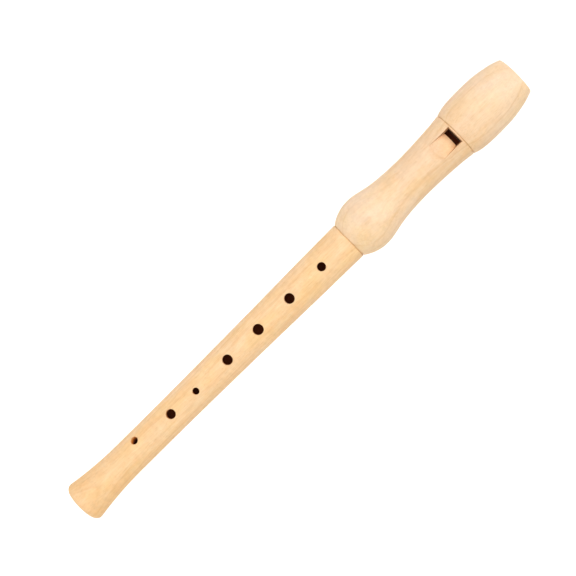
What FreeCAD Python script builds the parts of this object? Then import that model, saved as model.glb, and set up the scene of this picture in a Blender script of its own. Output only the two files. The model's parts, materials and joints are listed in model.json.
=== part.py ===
import FreeCAD, Part
import math
import os

# Soprano recorder in millimetres. It lies along X: the foot end is at x = 0 and the mouth end is
# towards +X. The instrument's axis is the X axis, and its finger holes and its window face +Z.
# A station is a distance along the axis from the foot end.

LENGTH = 327.5
BODY_TOP = 203.5  # station of the line where the head meets the body
BEAK_FOOT = 283.3  # station of the line where the beak meets the head
SEAM_CHAMFER = 0.4

# body joint
NECK_STATION = 36.0  # the flare of the foot runs out here
NECK_RADIUS = 9.6
FLARE_RADIUS = 210.0  # radius of the flare's long arc
FOOT_ROUNDING = 3.0
BODY_TOP_RADIUS = 11.2
BODY_CURVE = ((60.0, 9.58), (100.0, 9.84), (146.6, 10.44), (176.0, 10.92))
BODY_END_SLOPE = 0.014
FOOT_BORE = 5.0
FOOT_BORE_LENGTH = 12.0  # the bore is a true cylinder up to here, and a cone above
TENON_BORE = 6.5
TENON_RADIUS = 9.0
TENON_LENGTH = 19.4
TENON_CHAMFER = 0.5
HOLE_ROUNDING = 0.3
HOLE_RIM_SPAN = (2.0, 8.0)  # the rims of all the holes measure between these along the tube

# finger holes in front: station, radius, turn towards +Y in degrees
FINGER_HOLES = (
    (183.4, 2.43, 0.0),
    (159.4, 2.83, 0.0),
    (135.9, 2.97, 0.0),
    (112.8, 2.83, 0.0),
    (88.9, 1.9, 0.0),
    (70.6, 2.68, 4.4),
    (46.3, 2.16, 29.0),
)
THUMB_HOLE = (191.5, 2.75, 180.0)

# cork on the tenon
CORK_START = 207.2
CORK_WIDTH = 12.0
CORK_BED_RADIUS = 7.9
CORK_SLACK = 0.02
CORK_END_SLACK = 0.05
CORK_CHAMFER = 0.3

# head joint
SOCKET_RADIUS = 9.2
SOCKET_DEPTH = 20.0
SOCKET_CLEARANCE = 0.03  # between the cork and the socket
SOCKET_CHAMFER = 0.4
BULGE_STATION = 217.3
BULGE_RADIUS = 15.75
BULGE_ARC = 22.8  # radius of the round lower side of the bulge
HEAD_CURVE = (
    (222.8, 15.2),
    (229.2, 13.8),
    (237.7, 12.62),
    (251.5, 12.02),
    (264.3, 12.36),
    (274.9, 13.0),
)
HEAD_END_SLOPE = 0.13
BEAK_FOOT_RADIUS = 13.95
HEAD_BORE = 6.7
SPIGOT_RADIUS = 10.0
SPIGOT_LENGTH = 10.0
SPIGOT_SLACK = 0.02

# window and ramp
WINDOW_TOP = 282.5
LABIUM = 279.1
LABIUM_HALF_WIDTH = 4.55
# floor of the ramp: station, height in the middle, height at the walls, half width
RAMP = (
    (LABIUM, 7.1, 5.4, LABIUM_HALF_WIDTH),
    (270.5, 9.85, 10.3, 5.25),
    (263.4, 12.7, 13.9, 5.9),
)
WINDOW_FLOOR = 3.35  # the window's cutter starts inside the bore, this far above the axis
WINDOW_HALF_WIDTHS = (4.35, 4.45)  # there, at the labium and at the top
WALL_LEAN = 0.1  # how much the walls of window and ramp open outwards, per height

# beak
BEAK_CURVE = ((286.2, 14.88), (291.0, 15.67), (301.5, 16.0), (312.9, 15.43), (321.4, 13.92))
BEAK_START_SLOPE = 0.37
TIP_RADIUS = 12.0
TIP_END_SLOPE = -0.34
TIP_ROUNDING = 1.0
CUT_START = (290.5, -15.5)  # station and height of the two ends of the hollow cut behind
CUT_END = (LENGTH, 2.2)
CUT_HOLLOW = 4.2  # how far the cut's arc rises above the straight line between its ends
CUT_EDGE_ROUNDING = 0.7

# windway and block
WINDWAY_FLOOR = 6.45
WINDWAY_ROOF_TOP = 8.0  # at the mouth end
WINDWAY_ROOF_FOOT = 7.6  # at the window
WINDWAY_HALF_WIDTH_TOP = 5.6
WINDWAY_HALF_WIDTH_FOOT = 4.6
BLOCK_SLACK = 0.02

REACH = 40.0  # longer than any wall is thick, for tools that cut right through
OUTSIDE = 1.0  # how far a cutter starts outside the wood that it opens
SAME_STATION = 0.01  # an edge this near to a station lies at it
SAME_RADIUS = 0.05  # and an edge this near to a radius has it
X_AXIS = FreeCAD.Vector(1, 0, 0)
ORIGIN = FreeCAD.Vector(0, 0, 0)


def at(station, height, side=0.0):
    return FreeCAD.Vector(station, side, height)


def lines(*points):
    return [Part.makeLine(a, b) for a, b in zip(points, points[1:])]


def curve(points, start_slope, end_slope):
    """A smooth edge through (station, radius) points, with its slope given at both ends."""
    spline = Part.BSplineCurve()
    spline.interpolate(
        Points=[at(*point) for point in points],
        InitialTangent=at(1.0, start_slope),
        FinalTangent=at(1.0, end_slope),
    )
    return spline.toShape()


def arc(start, middle, end):
    return Part.Arc(at(*start), at(*middle), at(*end)).toShape()


def turned(edges):
    """Solid turned about the instrument's axis from a closed outline."""
    return Part.Face(Part.Wire(edges)).revolve(ORIGIN, X_AXIS, 360)


def turned_from_points(*points):
    corners = [at(*point) for point in points]
    return turned(lines(*corners, corners[0]))


def rod(start, end, radius):
    return Part.makeCylinder(radius, end - start, at(start, 0.0), X_AXIS)


def rounded(solid, radius, wanted):
    """The solid with every edge for which wanted(edge) is true rounded."""
    return solid.makeFillet(radius, [edge for edge in solid.Edges if wanted(edge)])


def chamfered(solid, wanted):
    """The solid with the outer rim of a seam, where wanted(edge) is true, cut back a little."""
    return solid.makeChamfer(SEAM_CHAMFER, [edge for edge in solid.Edges if wanted(edge)])


def flare_radius(station):
    return NECK_RADIUS + (NECK_STATION - station) ** 2 / (2 * FLARE_RADIUS)


def bulge_radius(station):
    centre = BULGE_RADIUS - BULGE_ARC
    return centre + math.sqrt(BULGE_ARC ** 2 - (station - BULGE_STATION) ** 2)


def hole_cutter(station, radius, turn):
    angle = math.radians(turn)
    outwards = FreeCAD.Vector(0, math.sin(angle), math.cos(angle))
    return Part.makeCylinder(radius, REACH, at(station, 0.0), outwards)


def body_blank():
    """Tube outside, from the foot end over the shoulder to the end of the tenon."""
    tenon_end = BODY_TOP + TENON_LENGTH
    flare = arc(
        (0.0, flare_radius(0.0)),
        (NECK_STATION / 2, flare_radius(NECK_STATION / 2)),
        (NECK_STATION, NECK_RADIUS),
    )
    points = ((NECK_STATION, NECK_RADIUS),) + BODY_CURVE + ((BODY_TOP, BODY_TOP_RADIUS),)
    tube = curve(points, 0.0, BODY_END_SLOPE)
    ends = lines(
        at(BODY_TOP, BODY_TOP_RADIUS),
        at(BODY_TOP, TENON_RADIUS),
        at(tenon_end - TENON_CHAMFER, TENON_RADIUS),
        at(tenon_end, TENON_RADIUS - TENON_CHAMFER),
        at(tenon_end, 0.0),
        at(0.0, 0.0),
        at(0.0, flare_radius(0.0)),
    )
    return turned([flare, tube] + ends)


def round_edge_at(station, radius):
    """Test for the circular edge at a station with about the given radius."""

    def wanted(edge):
        box = edge.BoundBox
        flat = box.XMin > station - SAME_STATION and box.XMax < station + SAME_STATION
        return flat and abs(box.ZMax - radius) < SAME_RADIUS

    return wanted


def body_bore():
    """Air inside the body: a short cylinder at the foot, then a cone that widens upwards."""
    end = BODY_TOP + TENON_LENGTH + OUTSIDE
    return turned_from_points(
        (-OUTSIDE, 0.0),
        (-OUTSIDE, FOOT_BORE),
        (FOOT_BORE_LENGTH, FOOT_BORE),
        (end, TENON_BORE),
        (end, 0.0),
    )


def body_joint():
    body = rounded(body_blank(), FOOT_ROUNDING, round_edge_at(0.0, flare_radius(0.0)))
    body = chamfered(body, round_edge_at(BODY_TOP, BODY_TOP_RADIUS))
    bed = rod(CORK_START, CORK_START + CORK_WIDTH, TENON_RADIUS + OUTSIDE)
    bed = bed.cut(rod(CORK_START, CORK_START + CORK_WIDTH, CORK_BED_RADIUS))
    body = body.cut(bed)
    for hole in FINGER_HOLES + (THUMB_HOLE,):
        body = body.cut(hole_cutter(*hole))
    body = body.cut(body_bore())
    return rounded(body, HOLE_ROUNDING, outer_rim_of_a_hole)


def outer_rim_of_a_hole(edge):
    """Test for the closed edge where a finger or thumb hole breaks through the outside."""
    box = edge.BoundBox
    shortest, longest = HOLE_RIM_SPAN
    in_span = shortest < box.XLength < longest
    return in_span and math.hypot(box.Center.y, box.Center.z) > NECK_RADIUS - OUTSIDE


def tenon_cork():
    start = CORK_START + CORK_END_SLACK
    end = CORK_START + CORK_WIDTH - CORK_END_SLACK
    inner = CORK_BED_RADIUS + CORK_SLACK
    outer = SOCKET_RADIUS - SOCKET_CLEARANCE
    return turned_from_points(
        (start, inner),
        (start, outer - CORK_CHAMFER),
        (start + CORK_CHAMFER, outer),
        (end - CORK_CHAMFER, outer),
        (end, outer - CORK_CHAMFER),
        (end, inner),
    )


def head_blank():
    spigot_end = BEAK_FOOT + SPIGOT_LENGTH
    halfway = (BODY_TOP + BULGE_STATION) / 2
    bulge = arc(
        (BODY_TOP, bulge_radius(BODY_TOP)),
        (halfway, bulge_radius(halfway)),
        (BULGE_STATION, BULGE_RADIUS),
    )
    points = ((BULGE_STATION, BULGE_RADIUS),) + HEAD_CURVE + ((BEAK_FOOT, BEAK_FOOT_RADIUS),)
    waist = curve(points, 0.0, HEAD_END_SLOPE)
    ends = lines(
        at(BEAK_FOOT, BEAK_FOOT_RADIUS),
        at(BEAK_FOOT, SPIGOT_RADIUS),
        at(spigot_end, SPIGOT_RADIUS),
        at(spigot_end, 0.0),
        at(BODY_TOP, 0.0),
        at(BODY_TOP, bulge_radius(BODY_TOP)),
    )
    return turned([bulge, waist] + ends)


def head_air():
    """Air inside the head: the socket with its eased mouth, then the straight bore."""
    socket_end = BODY_TOP + SOCKET_DEPTH
    return turned_from_points(
        (BODY_TOP - OUTSIDE, 0.0),
        (BODY_TOP - OUTSIDE, SOCKET_RADIUS + SOCKET_CHAMFER + OUTSIDE),
        (BODY_TOP + SOCKET_CHAMFER, SOCKET_RADIUS),
        (socket_end, SOCKET_RADIUS),
        (socket_end, HEAD_BORE),
        (LENGTH, HEAD_BORE),
        (LENGTH, 0.0),
    )


def cross_section(station, bottom_edge):
    """Closed outline across the axis, from a bottom edge up between two walls that lean out."""
    left = bottom_edge.Vertexes[0].Point
    right = bottom_edge.Vertexes[-1].Point
    half_width = right.y + WALL_LEAN * (REACH - right.z)
    top_left = at(station, REACH, -half_width)
    top_right = at(station, REACH, half_width)
    return Part.Wire([bottom_edge] + lines(right, top_right, top_left, left))


def ramp_section(station, middle_height, wall_height, half_width):
    floor = Part.Arc(
        at(station, wall_height, -half_width),
        at(station, middle_height),
        at(station, wall_height, half_width),
    )
    return cross_section(station, floor.toShape())


def ramp_air():
    """Air over the ramp: its floor is arched like the bore at the labium and hollow at the far end."""
    return Part.makeLoft([ramp_section(*section) for section in RAMP], True, False)


def window_air():
    """Air between the labium and the windway's mouth, down to the bore."""
    sections = []
    for station, half_width in zip((LABIUM, WINDOW_TOP), WINDOW_HALF_WIDTHS):
        left = at(station, WINDOW_FLOOR, -half_width)
        right = at(station, WINDOW_FLOOR, half_width)
        sections.append(cross_section(station, Part.makeLine(left, right)))
    return Part.makeLoft(sections, True, True)


def windway_air():
    """Flat arched duct over the block, from the window out through the mouth end."""
    ring = turned_from_points(
        (WINDOW_TOP, WINDWAY_FLOOR),
        (WINDOW_TOP, WINDWAY_ROOF_FOOT),
        (LENGTH + OUTSIDE, WINDWAY_ROOF_TOP),
        (LENGTH + OUTSIDE, WINDWAY_FLOOR),
    )
    plan = lines(
        at(WINDOW_TOP, 0.0, -WINDWAY_HALF_WIDTH_FOOT),
        at(LENGTH + OUTSIDE, 0.0, -WINDWAY_HALF_WIDTH_TOP),
        at(LENGTH + OUTSIDE, 0.0, WINDWAY_HALF_WIDTH_TOP),
        at(WINDOW_TOP, 0.0, WINDWAY_HALF_WIDTH_FOOT),
        at(WINDOW_TOP, 0.0, -WINDWAY_HALF_WIDTH_FOOT),
    )
    strip = Part.Face(Part.Wire(plan)).extrude(FreeCAD.Vector(0, 0, REACH))
    return ring.common(strip)


def head_joint():
    head = head_blank()
    head = chamfered(head, round_edge_at(BODY_TOP, bulge_radius(BODY_TOP)))
    head = chamfered(head, round_edge_at(BEAK_FOOT, BEAK_FOOT_RADIUS))
    for air in (head_air(), window_air(), ramp_air(), windway_air()):
        head = head.cut(air)
    return head


def beak_blank():
    """Barrel with its rounded tip, hollowed behind, and with every edge of the hollow softened."""
    points = ((BEAK_FOOT, BEAK_FOOT_RADIUS),) + BEAK_CURVE + ((LENGTH, TIP_RADIUS),)
    barrel = curve(points, BEAK_START_SLOPE, TIP_END_SLOPE)
    ends = lines(
        at(LENGTH, TIP_RADIUS),
        at(LENGTH, 0.0),
        at(BEAK_FOOT, 0.0),
        at(BEAK_FOOT, BEAK_FOOT_RADIUS),
    )
    solid = turned([barrel] + ends)
    solid = chamfered(solid, round_edge_at(BEAK_FOOT, BEAK_FOOT_RADIUS))
    solid = rounded(solid, TIP_ROUNDING, round_edge_at(LENGTH, TIP_RADIUS))
    solid = solid.cut(cut_behind())
    return solid.makeFillet(CUT_EDGE_ROUNDING, edges_of_cut(solid))


def cut_behind():
    """Air below the hollow behind the beak, where the lower lip goes: a cylinder across it."""
    run = CUT_END[0] - CUT_START[0]
    rise = CUT_END[1] - CUT_START[1]
    chord = math.hypot(run, rise)
    radius = chord ** 2 / (8 * CUT_HOLLOW) + CUT_HOLLOW / 2
    drop = radius - CUT_HOLLOW
    station = (CUT_START[0] + CUT_END[0]) / 2 + drop * rise / chord
    height = (CUT_START[1] + CUT_END[1]) / 2 - drop * run / chord
    return Part.makeCylinder(radius, 2 * REACH, at(station, height, -REACH), FreeCAD.Vector(0, 1, 0))


def edges_of_cut(solid):
    """Edges round the hollow behind the beak, which is its only face turned about a line along Y."""
    for face in solid.Faces:
        surface = face.Surface
        if isinstance(surface, Part.Cylinder) and abs(surface.Axis.y) > abs(surface.Axis.x):
            return face.Edges
    return []


def beak():
    solid = beak_blank()
    solid = solid.cut(rod(BEAK_FOOT - OUTSIDE, LENGTH + OUTSIDE, HEAD_BORE))
    spigot_end = BEAK_FOOT + SPIGOT_LENGTH + SPIGOT_SLACK
    solid = solid.cut(rod(BEAK_FOOT - OUTSIDE, spigot_end, SPIGOT_RADIUS + SPIGOT_SLACK))
    return solid.cut(windway_air())


def block():
    """Plug under the windway, cut off behind flush with the beak."""
    solid = rod(WINDOW_TOP, LENGTH, HEAD_BORE - BLOCK_SLACK)
    solid = solid.cut(windway_air()).cut(cut_behind())
    lip = [e for e in edges_of_cut(solid) if e.BoundBox.XMin > LENGTH - CUT_EDGE_ROUNDING]
    return solid.makeFillet(CUT_EDGE_ROUNDING, lip)


def main():
    os.makedirs("parts", exist_ok=True)
    pieces = {
        "body_joint": body_joint(),
        "tenon_cork": tenon_cork(),
        "head_joint": head_joint(),
        "beak": beak(),
        "block": block(),
    }
    for name, piece in pieces.items():
        piece.exportStep(f"parts/{name}.step")


main()
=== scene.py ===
import json
import math

import bpy
from mathutils import Matrix, Vector


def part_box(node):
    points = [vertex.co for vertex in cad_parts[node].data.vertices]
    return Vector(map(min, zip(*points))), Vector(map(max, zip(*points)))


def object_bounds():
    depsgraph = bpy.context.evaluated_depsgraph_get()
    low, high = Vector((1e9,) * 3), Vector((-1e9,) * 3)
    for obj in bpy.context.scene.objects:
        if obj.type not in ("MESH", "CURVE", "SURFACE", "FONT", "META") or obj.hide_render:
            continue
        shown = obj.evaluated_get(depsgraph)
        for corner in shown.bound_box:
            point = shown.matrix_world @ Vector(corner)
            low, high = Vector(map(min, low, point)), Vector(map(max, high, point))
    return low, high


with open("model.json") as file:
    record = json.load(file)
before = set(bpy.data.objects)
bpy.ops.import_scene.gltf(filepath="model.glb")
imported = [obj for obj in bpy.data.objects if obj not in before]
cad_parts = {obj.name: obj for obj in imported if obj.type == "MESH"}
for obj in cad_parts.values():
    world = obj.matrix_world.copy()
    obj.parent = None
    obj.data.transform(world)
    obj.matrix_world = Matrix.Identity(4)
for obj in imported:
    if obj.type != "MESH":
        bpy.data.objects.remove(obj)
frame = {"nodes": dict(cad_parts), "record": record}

# Soprano recorder on a white table, seen from above. Metres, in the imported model's own frame:
# +X runs along the instrument to the mouth end, and the finger holes and the window face +Z.
# A station is a distance along the instrument from the foot end.

NODES = frame["nodes"]
MOUNTS = {mount["name"]: mount for mount in frame["record"]["mounts"]}
CAD_LOW, CAD_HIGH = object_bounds()

MM = 0.001
WHITE = (1.0, 1.0, 1.0, 1.0)
AXIS_HEIGHT = MOUNTS["foot_bore"]["pos_m"][2]
BODY_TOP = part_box("head_joint")[0].x
TENON_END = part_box("body_joint")[1].x
BEAK_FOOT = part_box("beak")[0].x
MOUTH_END = CAD_HIGH.x

# camera: its height over the instrument's axis, the point under it and the point it is aimed at
CAMERA_HEIGHT = 0.9
CAMERA_FOOT = (0.2165, -0.024)
AIM = (0.1622, 0.0048)
LEAN = math.radians(44.73)
LENS = 105.0
SENSOR = 36.0

# light: lamps as place from the middle of the instrument, size and power
SKY_STRENGTH = 0.26
LAMPS = {
    "lamp_above": ((0.0, 0.09, 1.3), 0.9, 9.2),
    "lamp_mouth_side": ((0.9, 0.0, 1.1), 0.7, 10.2),
    "lamp_foot_side": ((-0.9, 0.0, 0.35), 0.7, 2.7),
}
FLOOR_SIZE = 6.0
FLOOR_GLOW = 0.8
FLOOR_ROUGHNESS = 0.9

# A pattern is a noise: its waves to the metre along X, Y and Z, its octaves and their roughness.
# Marks are a pattern, the span of its values that counts, and the levels that this is spread over.

# growth layers of the maple: how far they sway and ripple, where their lines are strong, the parts
# of a layer where its dark line of late wood peaks and ends, and how late the line darkens
SWAY = ((7.0, 45.0, 45.0), 2.0)
SWAY_REACH = 1.8 * MM
RIPPLE = ((60.0, 160.0, 160.0), 2.0)
RIPPLE_REACH = 0.9 * MM
LINE_PATCHES = (((30.0, 90.0, 90.0), 2.0), (0.35, 0.65), (0.4, 1.0))
LINE_PEAK = 0.9
LINE_EDGE = (0.91, 1.0)
LINE_POWER = 2.0

# the maple's other figure, its fibres and the fine grooves that turning left
STREAKS = (((22.0, 420.0, 420.0), 4.0, 0.6), (0.38, 0.68), (0.0, 0.3))
MOTTLE = (((170.0, 400.0, 400.0), 3.0), (0.36, 0.66), (0.0, 0.35))
CLOUDS = (((60.0, 150.0, 150.0), 4.0, 0.6), (0.36, 0.66), (0.0, 0.45))
FLECKS = (((420.0, 1700.0, 1700.0), 1.0), (0.58, 0.76), (0.0, 0.3))
BLUSH = (((85.0, 190.0, 190.0), 2.0), (0.4, 0.62), (0.0, 0.7))
BLUSH_TINT = (1.0, 0.965, 0.935)
HONEY = (((48.0, 110.0, 110.0), 3.0), (0.42, 0.64), (0.0, 1.0))
HONEY_TINT = (1.0, 0.985, 0.90)
FIBRES = ((130.0, 3400.0, 3400.0), 3.0, 0.65)
FIBRE_SHADE = ((0.3, 0.75), (1.05, 0.92))
FIBRE_ROUGHNESS = ((0.3, 0.7), (0.56, 0.68))
CURL = (((420.0, 160.0, 160.0), 2.0), (0.3, 0.7), (0.975, 1.025))
TURNING = ((2600.0, 14.0, 14.0), 1.0)
TURNING_DEPTH = 0.3
MAPLE_RELIEF = 0.03 * MM
MAPLE_GLOSS = 0.4

# rubbed edges, painted shade in the seam grooves, and painted shade on the -Y side, which the lamps
# light less
WEAR_REACH = 0.7 * MM
WEAR_SAMPLES = 4
WEAR_LEAN = (0.8, 0.99)  # cosines of a rounded normal's lean, from rubbed most to not at all
WEAR_STRENGTH = 0.2
WEAR_SHINE = 0.4
# painted shade in the seam grooves: its colour, reach and strength
SEAM_SHADE_COLOUR = (0.48, 0.25, 0.07)
SEAM_REACH = 0.7 * MM  # painted shade reaches this far to each side of a seam's groove
SEAM_SHADE_DEPTH = 0.2
SPOT_CORE = 0.35  # the part of a reach that is marked in full
SHADED_SIDE = (-9.0 * MM, 4.0 * MM)  # across the instrument, from wholly tinted with painted shade to not at all

# holes and bore: dark from oil and painted shade, but the end faces and the outside of the tenon
# aren't
HOLE_WALL_COLOUR = (0.82, 0.27, 0.035)
HOLE_WALL = (7.8 * MM, 9.4 * MM)  # over this distance from the axis a finger hole's wall turns pale
HOLE_DEPTH = (0.1 * MM, 3.2 * MM)  # over this height above the bore it loses the bore's colour, so a hole's wall has painted shade deepening towards the bore
BORE_OIL_AND_SHADE_COLOUR = (0.15, 0.026, 0.004)
BORE_BLEND = 0.4 * MM
FOOT_SIDE_FADE = 4.0 * MM  # the oil and painted shade fade out over these distances at the ends of their span
MOUTH_SIDE_FADE = 2.0 * MM

# the cut floor of the ramp is tinted a little darker: painted shade that tones down the light it
# catches
RAMP_SHADE_TINT = (0.99, 0.975, 0.965)
RAMP_START = BEAK_FOOT - 21.0 * MM  # the far, shallow end of the ramp
RAMP_HALF_WIDTH = 6.2 * MM
RAMP_SKIN = (11.6 * MM, 12.2 * MM)  # wood nearer to the axis than this was cut away for the ramp
RAMP_SKIN_SLOPE = 0.06  # how much that rises with the distance from the ramp's start

# The wood of the body and of the head. tones are pale, middle and deep. layers are a point of the
# pith's line, the rise of the layers along X, their spacing and the part of a layer that is early
# wood. The side tint is painted shade on the -Y side, which the lamps light less. The stretch tints
# are a tint, station and reach each; on the head they are painted light and shade. bore_span is the
# two stations between which holes and bore are darkened by oil and painted shade, and bore_radii
# are the bore's radii there. The head is darkened right up to its mouth end, so that its fade
# lies beyond it.
BODY_WOOD = {
    "tones": ((0.885, 0.62, 0.368), (0.825, 0.52, 0.26), (0.69, 0.36, 0.145)),
    "layers": ((0.0, -0.001, -0.08036), -0.010, 2.2 * MM, 0.5),
    "line_depth": 0.28,
    # painted shade on the -Y side, which the lamps light less
    "shaded_side_tint": (1.0, 0.99, 0.95),
    "stretch_tints": (((1.0, 0.965, 0.90), 0.0, 60.0 * MM),),
    "bore_radii": (5.0 * MM, 6.5 * MM),
    "bore_span": (0.5 * MM, TENON_END),
}
HEAD_WOOD = {
    "tones": ((0.87, 0.66, 0.475), (0.81, 0.565, 0.36), (0.69, 0.42, 0.215)),
    "layers": ((0.0, 0.0008, 0.12103), 0.004, 5.4 * MM, 0.72),
    "line_depth": 0.35,
    # painted shade on the -Y side, which the lamps light less
    "shaded_side_tint": (1.0, 0.985, 0.92),
    "stretch_tints": (
        # painted in for light: the bulge's flank by the seam, lit too little by the lamps, is
        # tinted yellower
        ((1.0, 0.985, 0.91), BODY_TOP, 14.0 * MM),
        # painted shade over the waist, the ramp and the beak's foot, which the lamps light strongly
        ((0.965, 0.918, 0.845), BEAK_FOOT - 14.0 * MM, 44.0 * MM),
    ),
    "bore_radii": (6.75 * MM, 6.75 * MM),
    "bore_span": (BODY_TOP, MOUTH_END + MOUTH_SIDE_FADE),
}

# cedar of the block
RING_SWAY = ((20.0, 60.0, 60.0), 2.0)
RING_SWAY_REACH = 3.0 * MM
RING_SPACING = 1.3 * MM
RING_LINE = (0.35, 1.0)
CEDAR_PALE = (0.52, 0.27, 0.14)
CEDAR_RING = (0.36, 0.155, 0.075)
CEDAR_FIBRE = (0.24, 0.09, 0.045)
CEDAR_FIBRES = ((140.0, 4200.0, 4200.0), 3.0, 0.65)
CEDAR_FIBRE_SHADE = ((0.4, 0.8), (0.0, 0.45))
CEDAR_ROUGHNESS = ((0.2, 0.8), (0.66, 0.82))
CEDAR_RELIEF = 0.05 * MM
CEDAR_GLOSS = 0.5

# cork of the ring on the tenon
CORK_GRAINS = 900.0  # to the metre
CORK_PORES = (((1400.0, 1400.0, 1400.0), 2.0), (0.58, 0.7), (0.0, 1.0))
CORK_DEEP = (0.54, 0.275, 0.095)
CORK_PALE = (0.70, 0.40, 0.16)
CORK_PORE = (0.22, 0.085, 0.025)
CORK_PORE_SHADE = 0.6
CORK_ROUGHNESS = ((0.0, 0.7), (0.5, 0.75))
CORK_RELIEF = 0.05 * MM
CORK_GLOSS = 0.25

# grain of the paper on the table
PAPER_TOOTH = (((700.0, 700.0, 700.0), 2.0), (0.3, 0.7), (0.49, 0.51))

# a mix node's sockets for colours, by number because several sockets share a name
MIX_FACTOR = 0
MIX_FIRST = 6
MIX_SECOND = 7
MIX_RESULT = 2


def lowest_point(node):
    return min((vertex.co for vertex in NODES[node].data.vertices), key=lambda point: point.z)


def make_camera():
    """Camera above the instrument, rolled so that the mouth end points up and to the right."""
    place = Vector((CAMERA_FOOT[0], CAMERA_FOOT[1], AXIS_HEIGHT + CAMERA_HEIGHT))
    back = (place - Vector((AIM[0], AIM[1], AXIS_HEIGHT))).normalized()
    along = Vector((1.0, 0.0, 0.0))
    along = (along - along.dot(back) * back).normalized()
    across = back.cross(along)
    right = math.cos(LEAN) * along - math.sin(LEAN) * across
    up = math.sin(LEAN) * along + math.cos(LEAN) * across
    data = bpy.data.cameras.new("camera")
    data.lens = LENS
    data.sensor_width = SENSOR
    camera = bpy.data.objects.new("camera", data)
    turn = Matrix((right, up, back)).transposed().to_4x4()
    camera.matrix_world = Matrix.Translation(place) @ turn
    bpy.context.scene.collection.objects.link(camera)
    bpy.context.scene.camera = camera


def area_light(name, place, target, size, power):
    data = bpy.data.lights.new(name, "AREA")
    data.shape = "DISK"
    data.size = size
    data.energy = power
    light = bpy.data.objects.new(name, data)
    light.location = place
    light.rotation_euler = (Vector(target) - Vector(place)).to_track_quat("-Z", "Y").to_euler()
    bpy.context.scene.collection.objects.link(light)


def make_lights():
    """White surroundings and wide lamps, so that the shading is soft."""
    world = bpy.data.worlds.new("studio")
    world.use_nodes = True
    sky = world.node_tree.nodes["Background"]
    sky.inputs["Color"].default_value = WHITE
    sky.inputs["Strength"].default_value = SKY_STRENGTH
    bpy.context.scene.world = world
    middle = (CAD_LOW + CAD_HIGH) / 2
    for name, (place, size, power) in LAMPS.items():
        area_light(name, middle + Vector(place), middle, size, power)
    bpy.context.scene.view_settings.view_transform = "Standard"


def new_material(name):
    """An empty material, its node tree and the place on the object as it is at rest."""
    material = bpy.data.materials.new(name)
    material.use_nodes = True
    tree = material.node_tree
    tree.nodes.clear()
    return material, tree, add(tree, "ShaderNodeTexCoord").outputs["Object"]


def add(tree, kind, inputs=None, **settings):
    """A shader node with its settings and inputs; an input is a value or another node's output."""
    node = tree.nodes.new(kind)
    for key, value in settings.items():
        setattr(node, key, value)
    for key, value in (inputs or {}).items():
        if isinstance(value, bpy.types.NodeSocket):
            tree.links.new(value, node.inputs[key])
        else:
            node.inputs[key].default_value = value
    return node


def math_node(tree, operation, *values):
    return add(tree, "ShaderNodeMath", dict(enumerate(values)), operation=operation).outputs[0]


def product(tree, first, *others):
    for other in others:
        first = math_node(tree, "MULTIPLY", first, other)
    return first


def total(tree, first, *others):
    for other in others:
        first = math_node(tree, "ADD", first, other)
    return first


def spread(tree, factor, span, levels=(0.0, 1.0), interpolation="SMOOTHSTEP"):
    """The factor's stretch between the two values of span, spread over the two levels."""
    values = {
        "Value": factor,
        "From Min": span[0],
        "From Max": span[1],
        "To Min": levels[0],
        "To Max": levels[1],
    }
    node = add(tree, "ShaderNodeMapRange", values, interpolation_type=interpolation)
    return node.outputs["Result"]


def noise(tree, place, waves, octaves, roughness=0.5):
    scaled = add(tree, "ShaderNodeMapping", {"Vector": place, "Scale": waves}).outputs[0]
    values = {"Vector": scaled, "Scale": 1.0, "Detail": octaves, "Roughness": roughness}
    return add(tree, "ShaderNodeTexNoise", values).outputs["Fac"]


def marks(tree, place, pattern, span, levels):
    return spread(tree, noise(tree, place, *pattern), span, levels)


def as_colour(value):
    return value if isinstance(value, bpy.types.NodeSocket) else (*value, 1.0)


def blend(tree, factor, first, second, mode="MIX"):
    """The first colour, mixed with the second as far as the factor says."""
    values = {MIX_FACTOR: factor, MIX_FIRST: as_colour(first), MIX_SECOND: as_colour(second)}
    node = add(tree, "ShaderNodeMix", values, data_type="RGBA", blend_type=mode)
    return node.outputs[MIX_RESULT]


def tinted(tree, factor, colour, tint):
    """The colour, multiplied by the tint as far as the factor says."""
    return blend(tree, factor, colour, tint, "MULTIPLY")


def grey(tree, level):
    return add(tree, "ShaderNodeCombineColor", {0: level, 1: level, 2: level}).outputs[0]


def coordinates(tree, place):
    split = add(tree, "ShaderNodeSeparateXYZ", {"Vector": place})
    return split.outputs["X"], split.outputs["Y"], split.outputs["Z"]


def distance_from_line(tree, across, height):
    """Distance from a line along X, from the two distances across it."""
    side = add(tree, "ShaderNodeCombineXYZ", {"Y": across, "Z": height}).outputs[0]
    return add(tree, "ShaderNodeVectorMath", {0: side}, operation="LENGTH").outputs["Value"]


def surface(tree, values):
    shader = add(tree, "ShaderNodeBsdfPrincipled", values)
    add(tree, "ShaderNodeOutputMaterial", {"Surface": shader.outputs[0]})


def finish_wood(tree, colour, roughness, height, relief, gloss):
    bump = add(tree, "ShaderNodeBump", {"Height": height, "Strength": 1.0, "Distance": relief})
    values = {
        "Base Color": colour,
        "Roughness": roughness,
        "Specular IOR Level": gloss,
        "Normal": bump.outputs[0],
    }
    surface(tree, values)


def growth_lines(tree, place, pith, rise, spacing, early):
    """Late-wood lines where the surface cuts the growth layers round the pith's line.

    Each layer is pale for its early part and darkens over the rest.
    """
    shifted = add(tree, "ShaderNodeVectorMath", {0: place, 1: pith}, operation="SUBTRACT")
    along, across, height = coordinates(tree, shifted.outputs[0])
    reach = total(
        tree,
        distance_from_line(tree, across, height),
        product(tree, noise(tree, place, *SWAY), SWAY_REACH),
        product(tree, noise(tree, place, *RIPPLE), RIPPLE_REACH),
        product(tree, along, rise),
    )
    phase = math_node(tree, "FRACT", product(tree, reach, 1 / spacing))
    late = math_node(tree, "POWER", spread(tree, phase, (early, LINE_PEAK)), LINE_POWER)
    late = product(tree, late, marks(tree, place, *LINE_PATCHES))
    return product(tree, late, spread(tree, phase, LINE_EDGE, (1.0, 0.0)))


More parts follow.
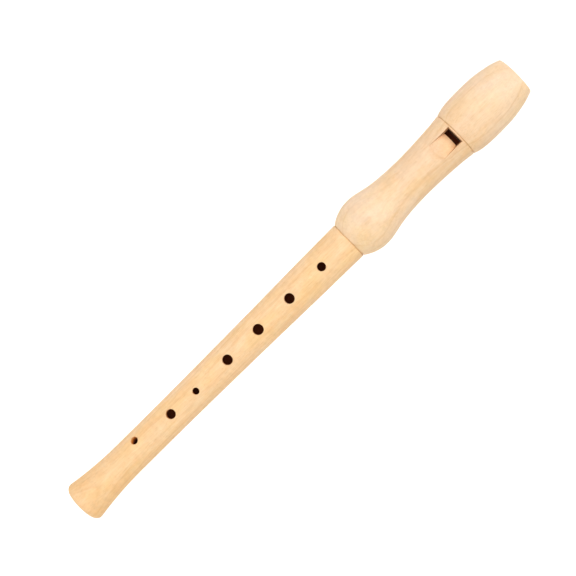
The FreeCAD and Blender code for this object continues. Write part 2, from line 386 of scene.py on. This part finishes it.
def figured_colour(tree, place, tones, layers, line_depth):
    """Colour of the wood's figure: streaks, mottle, clouds, growth lines, flecks and warm tints."""
    pale, middle, deep = tones
    colour = blend(tree, marks(tree, place, *STREAKS), pale, middle)
    colour = blend(tree, marks(tree, place, *MOTTLE), colour, middle)
    colour = blend(tree, marks(tree, place, *CLOUDS), colour, middle)
    lines = product(tree, growth_lines(tree, place, *layers), line_depth)
    colour = blend(tree, lines, colour, deep)
    colour = blend(tree, marks(tree, place, *FLECKS), colour, deep)
    colour = tinted(tree, marks(tree, place, *BLUSH), colour, BLUSH_TINT)
    return tinted(tree, marks(tree, place, *HONEY), colour, HONEY_TINT)


def near_station(tree, along, station, reach):
    """1 at a station along the instrument, falling to 0 at the reach to either side."""
    away = math_node(tree, "ABSOLUTE", math_node(tree, "SUBTRACT", along, station))
    return spread(tree, away, (SPOT_CORE * reach, reach), (1.0, 0.0))


def edge_wear(tree):
    """How much an edge is rubbed, from how far a rounded normal leans from the true one."""
    normal = add(tree, "ShaderNodeNewGeometry").outputs["Normal"]
    bevel = add(tree, "ShaderNodeBevel", {"Radius": WEAR_REACH}, samples=WEAR_SAMPLES)
    eased = bevel.outputs["Normal"]
    lean = add(tree, "ShaderNodeVectorMath", {0: normal, 1: eased}, operation="DOT_PRODUCT")
    return spread(tree, lean.outputs["Value"], WEAR_LEAN, (WEAR_STRENGTH, 0.0))


def on_ramp(tree, along, across, height, radius):
    """1 on the cut floor of the ramp, which lies below the turned surface of the head."""
    side = math_node(tree, "ABSOLUTE", across)
    run = math_node(tree, "SUBTRACT", along, RAMP_START)
    level = math_node(tree, "SUBTRACT", radius, product(tree, run, RAMP_SKIN_SLOPE))
    return product(
        tree,
        spread(tree, level, RAMP_SKIN, (1.0, 0.0)),
        math_node(tree, "LESS_THAN", side, RAMP_HALF_WIDTH),
        math_node(tree, "GREATER_THAN", height, 0.0),
        math_node(tree, "GREATER_THAN", run, 0.0),
        math_node(tree, "LESS_THAN", along, BEAK_FOOT),
    )


def side_and_stretch_tinted(tree, colour, along, across, shaded_side_tint, stretch_tints):
    """The colour, with painted shade on the -Y side, which the lamps light less, and with the
    stretch tints, which on the head are painted light and shade.
    """
    # painted shade: the -Y side, which the lamps light less, is tinted deeper
    colour = tinted(tree, spread(tree, across, SHADED_SIDE, (1.0, 0.0)), colour, shaded_side_tint)
    # stretch tints; on the head these are painted light and shade
    for tint, station, reach in stretch_tints:
        colour = tinted(tree, near_station(tree, along, station, reach), colour, tint)
    return colour


def with_seam_shade(tree, colour, along):
    """The colour, with painted shade in the grooves of the two seams."""
    for seam in (BODY_TOP, BEAK_FOOT):
        seam_shade = product(tree, near_station(tree, along, seam, SEAM_REACH), SEAM_SHADE_DEPTH)
        colour = blend(tree, seam_shade, colour, SEAM_SHADE_COLOUR)
    return colour


def oil_and_shade_inside(tree, colour, along, radius, bore_radii, bore_span):
    """The colour, dark in the finger holes and the bore from oil and painted shade, and how far a
    place is inside these.
    """
    start, end = bore_span
    inside = product(
        tree,
        spread(tree, along, (start, start + FOOT_SIDE_FADE)),
        spread(tree, along, (end - MOUTH_SIDE_FADE, end), (1.0, 0.0)),
    )
    wall = product(
        tree,
        spread(tree, radius, HOLE_WALL, (1.0, 0.0)),
        math_node(tree, "LESS_THAN", along, BODY_TOP),
        inside,
    )
    bore_radius = spread(tree, along, bore_span, bore_radii, "LINEAR")
    above_bore = math_node(tree, "SUBTRACT", radius, bore_radius)
    bore = product(tree, spread(tree, above_bore, (0.0, BORE_BLEND), (1.0, 0.0)), inside)
    # painted shade: a hole's wall darkens towards the bore
    pale = spread(tree, above_bore, HOLE_DEPTH)
    colour = blend(tree, wall, colour, blend(tree, pale, BORE_OIL_AND_SHADE_COLOUR, HOLE_WALL_COLOUR))
    return blend(tree, bore, colour, BORE_OIL_AND_SHADE_COLOUR), math_node(tree, "MAXIMUM", wall, bore)


def maple(name, tones, layers, line_depth, shaded_side_tint, stretch_tints, bore_radii, bore_span):
    """Turned maple with an oil finish and rubbed edges, painted shade in the seams, on the -Y side
    and on the ramp, and holes and bore dark from oil and painted shade.
    """
    material, tree, place = new_material(name)
    along, across, up = coordinates(tree, place)
    height = math_node(tree, "SUBTRACT", up, AXIS_HEIGHT)
    radius = distance_from_line(tree, across, height)
    fibres = noise(tree, place, *FIBRES)
    shade = product(tree, spread(tree, fibres, *FIBRE_SHADE), marks(tree, place, *CURL))
    wear = edge_wear(tree)
    colour = figured_colour(tree, place, tones, layers, line_depth)
    colour = tinted(tree, 1.0, colour, grey(tree, shade))
    # painted shade on the -Y side, and the stretch tints, which on the head are painted light and
    # shade
    colour = side_and_stretch_tinted(tree, colour, along, across, shaded_side_tint, stretch_tints)
    # painted shade over the ramp's floor
    colour = tinted(tree, on_ramp(tree, along, across, height, radius), colour, RAMP_SHADE_TINT)
    # rubbed edges, then painted shade in the seam grooves
    colour = with_seam_shade(tree, blend(tree, wear, colour, tones[2]), along)
    colour, oil_and_shade = oil_and_shade_inside(tree, colour, along, radius, bore_radii, bore_span)
    roughness = spread(tree, fibres, *FIBRE_ROUGHNESS)
    roughness = math_node(tree, "SUBTRACT", roughness, product(tree, wear, WEAR_SHINE))
    roughness = math_node(tree, "MAXIMUM", roughness, oil_and_shade)
    turning = product(tree, noise(tree, place, *TURNING), TURNING_DEPTH)
    finish_wood(tree, colour, roughness, total(tree, fibres, turning), MAPLE_RELIEF, MAPLE_GLOSS)
    return material


def cedar():
    """Bare reddish cedar, with close dark rings and open fibres."""
    material, tree, place = new_material("block_wood")
    across = coordinates(tree, place)[1]
    sway = product(tree, noise(tree, place, *RING_SWAY), RING_SWAY_REACH)
    rings = product(tree, total(tree, across, sway), 1 / RING_SPACING)
    rings = spread(tree, math_node(tree, "FRACT", rings), RING_LINE)
    fibres = noise(tree, place, *CEDAR_FIBRES)
    colour = blend(tree, rings, CEDAR_PALE, CEDAR_RING)
    colour = blend(tree, spread(tree, fibres, *CEDAR_FIBRE_SHADE), colour, CEDAR_FIBRE)
    roughness = spread(tree, fibres, *CEDAR_ROUGHNESS)
    finish_wood(tree, colour, roughness, fibres, CEDAR_RELIEF, CEDAR_GLOSS)
    return material


def cork():
    """Sheet cork: small pressed grains, dark pores and a little grease on the surface."""
    material, tree, place = new_material("cork")
    values = {"Vector": place, "Scale": CORK_GRAINS, "Randomness": 1.0}
    grains = add(tree, "ShaderNodeTexVoronoi", values)
    pores = marks(tree, place, *CORK_PORES)
    tone = add(tree, "ShaderNodeSeparateColor", {0: grains.outputs["Color"]}).outputs[0]
    colour = blend(tree, tone, CORK_DEEP, CORK_PALE)
    colour = blend(tree, product(tree, pores, CORK_PORE_SHADE), colour, CORK_PORE)
    roughness = spread(tree, grains.outputs["Distance"], *CORK_ROUGHNESS)
    height = math_node(tree, "SUBTRACT", grains.outputs["Distance"], pores)
    finish_wood(tree, colour, roughness, height, CORK_RELIEF, CORK_GLOSS)
    return material


def paper():
    """White paper that glows a little, so that shadows on it stay faint."""
    material, tree, place = new_material("floor")
    values = {
        "Base Color": grey(tree, marks(tree, place, *PAPER_TOOTH)),
        "Roughness": FLOOR_ROUGHNESS,
        "Emission Color": WHITE,
        "Emission Strength": FLOOR_GLOW,
    }
    surface(tree, values)
    return material


def make_floor():
    """Flat floor under the two places that the instrument lies on: the bulge and the foot's rim."""
    foot = lowest_point("body_joint")
    bulge = lowest_point("head_joint")
    tilt = math.atan2(foot.z - bulge.z, bulge.x - foot.x)
    bpy.ops.mesh.primitive_plane_add(size=FLOOR_SIZE)
    floor = bpy.context.object
    floor.name = "floor"
    floor.location = (bulge.x, 0.0, bulge.z)
    floor.rotation_euler = (0.0, tilt, 0.0)
    floor.data.materials.append(paper())


def dress(node, material):
    slots = NODES[node].data.materials
    slots.clear()
    slots.append(material)


def dress_nodes():
    head = maple("head_wood", **HEAD_WOOD)
    dress("body_joint", maple("body_wood", **BODY_WOOD))
    dress("head_joint", head)
    dress("beak", head)
    dress("block", cedar())
    dress("tenon_cork", cork())


make_camera()
make_lights()
make_floor()
dress_nodes()
